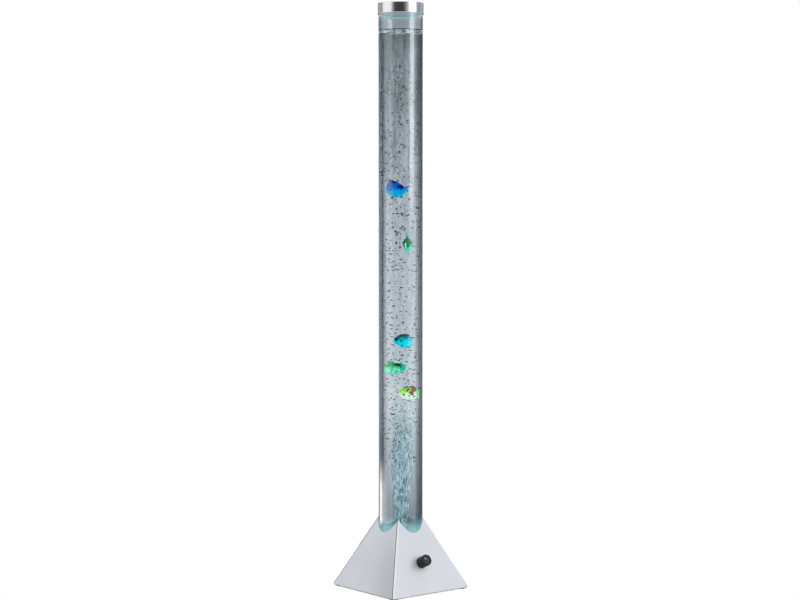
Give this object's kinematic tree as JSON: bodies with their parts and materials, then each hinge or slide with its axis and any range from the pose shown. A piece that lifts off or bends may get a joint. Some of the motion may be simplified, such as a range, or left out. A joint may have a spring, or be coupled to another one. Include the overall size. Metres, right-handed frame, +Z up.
{
  "type": "bubble tube floor lamp",
  "caption": "Free-standing bubble tube lamp: a clear tube with floating fish on a pyramid foot that holds its light and air pump.",
  "frame": {"origin": "on the floor, under the middle of the square foot", "axes": "+Z up along the tube, -Y towards the face with the control knob, +X to the right of that face"},
  "size_m": [0.2, 0.2, 1.19],
  "materials": {
    "silver_sheet": "satin silver lacquer on folded sheet",
    "plate_sheet": "dull grey",
    "zinc_steel": "zinc plated",
    "foot_rubber": "matte",
    "black_plastic": "fine matte grain",
    "insert_plastic": "satin",
    "clear_acrylic": "polished clear",
    "white_plastic": "moulded",
    "soft_seal": "translucent silicone",
    "stone": "porous, sintered grains",
    "hose_vinyl": "translucent",
    "valve_plastic": "moulded",
    "core_steel": "stacked laminations",
    "coil_copper": "enamelled winding",
    "magnet": "dull",
    "board_white": "white solder mask",
    "board_green": "green solder mask",
    "led_lens": "clear lens, lit blue-green",
    "capacitor_sleeve": "shrink sleeve",
    "terminal_plastic": "moulded",
    "heatsink_aluminium": "extruded",
    "gilt_brass": "plated",
    "wire_red": "insulation",
    "wire_orange": "insulation",
    "wire_white": "insulation",
    "wire_blue": "insulation",
    "cap_chrome": "finely brushed, chromed",
    "fish_blue": "moulded and painted",
    "fish_mint": "moulded and painted",
    "fish_cyan": "moulded and painted",
    "fish_green": "moulded and painted",
    "fish_lime": "moulded and painted"
  },
  "bodies": {
    "base": {"pyramid_shell": "silver_sheet", "corner_posts": "zinc_steel", "base_plate": "plate_sheet", "base_screws": "zinc_steel", "rubber_feet": "foot_rubber", "tube_seat": "black_plastic", "seat_pillars": "zinc_steel", "pillar_screws": "zinc_steel", "tube_gasket": "soft_seal", "water_tube": "clear_acrylic", "tube_bottom": "clear_acrylic", "air_nozzle": "white_plastic", "nozzle_nut": "white_plastic", "nozzle_seal": "foot_rubber", "air_stone": "stone", "air_hose_lower": "hose_vinyl", "check_valve": "valve_plastic", "air_hose_upper": "hose_vinyl", "pump_case": "black_plastic", "pump_lid": "black_plastic", "pump_screws": "zinc_steel", "pump_mounts": "foot_rubber", "pump_core": "core_steel", "pump_coil": "coil_copper", "pump_pivot": "zinc_steel", "pump_diaphragm": "foot_rubber", "pump_valve_block": "white_plastic", "led_board": "board_white", "led_chips": "led_lens", "led_standoffs": "zinc_steel", "led_screws": "zinc_steel", "control_board": "board_green", "board_standoffs": "white_plastic", "board_capacitors": "capacitor_sleeve", "board_heatsink": "heatsink_aluminium", "board_terminals": "terminal_plastic", "board_chips": "black_plastic", "control_housing": "zinc_steel", "control_nut": "zinc_steel", "dc_jack": "black_plastic", "jack_pin": "gilt_brass", "jack_nut": "zinc_steel", "jack_leads": "wire_red", "control_leads": "wire_orange", "led_leads": "wire_white", "pump_leads": "wire_blue"},
    "pump_arm": {"pump_arm": "zinc_steel", "pump_magnet": "magnet"},
    "knob": {"knob": "black_plastic", "knob_insert": "insert_plastic", "control_shaft": "heatsink_aluminium", "control_wiper": "gilt_brass"},
    "cap": {"top_cap": "cap_chrome", "cap_plug": "black_plastic"},
    "fish_1": {"fish_1": "fish_blue"},
    "fish_2": {"fish_2": "fish_mint"},
    "fish_3": {"fish_3": "fish_cyan"},
    "fish_4": {"fish_4": "fish_green"},
    "fish_5": {"fish_5": "fish_lime"}
  },
  "joints": [
    {"name": "knob_turn", "type": "hinge", "parent": "base", "child": "knob", "pos_m": [-0.006, -0.07275, 0.0613], "axis": [0, -0.9031, 0.4294], "range_deg": [-110, 190]},
    {"name": "cap_lift", "type": "slide", "parent": "base", "child": "cap", "axis": [0, 0, 1], "range_m": [0, 0.04]},
    {"name": "pump_arm_swing", "type": "hinge", "parent": "base", "child": "pump_arm", "pos_m": [-0.058, -0.002, 0.025], "axis": [0, 0, 1], "range_deg": [-1.2, 1.2], "deforming": ["pump_diaphragm"]},
    {"name": "fish_1_rise", "type": "slide", "parent": "base", "child": "fish_1", "axis": [0, 0, 1], "range_m": [-0.033, 0.29]},
    {"name": "fish_2_rise", "type": "slide", "parent": "base", "child": "fish_2", "axis": [0, 0, 1], "range_m": [-0.075, 0.033]},
    {"name": "fish_3_rise", "type": "slide", "parent": "base", "child": "fish_3", "axis": [0, 0, 1], "range_m": [-0.012, 0.075]},
    {"name": "fish_4_rise", "type": "slide", "parent": "base", "child": "fish_4", "axis": [0, 0, 1], "range_m": [-0.009, 0.012]},
    {"name": "fish_5_rise", "type": "slide", "parent": "base", "child": "fish_5", "axis": [0, 0, 1], "range_m": [-0.23, 0.008]}
  ]
}
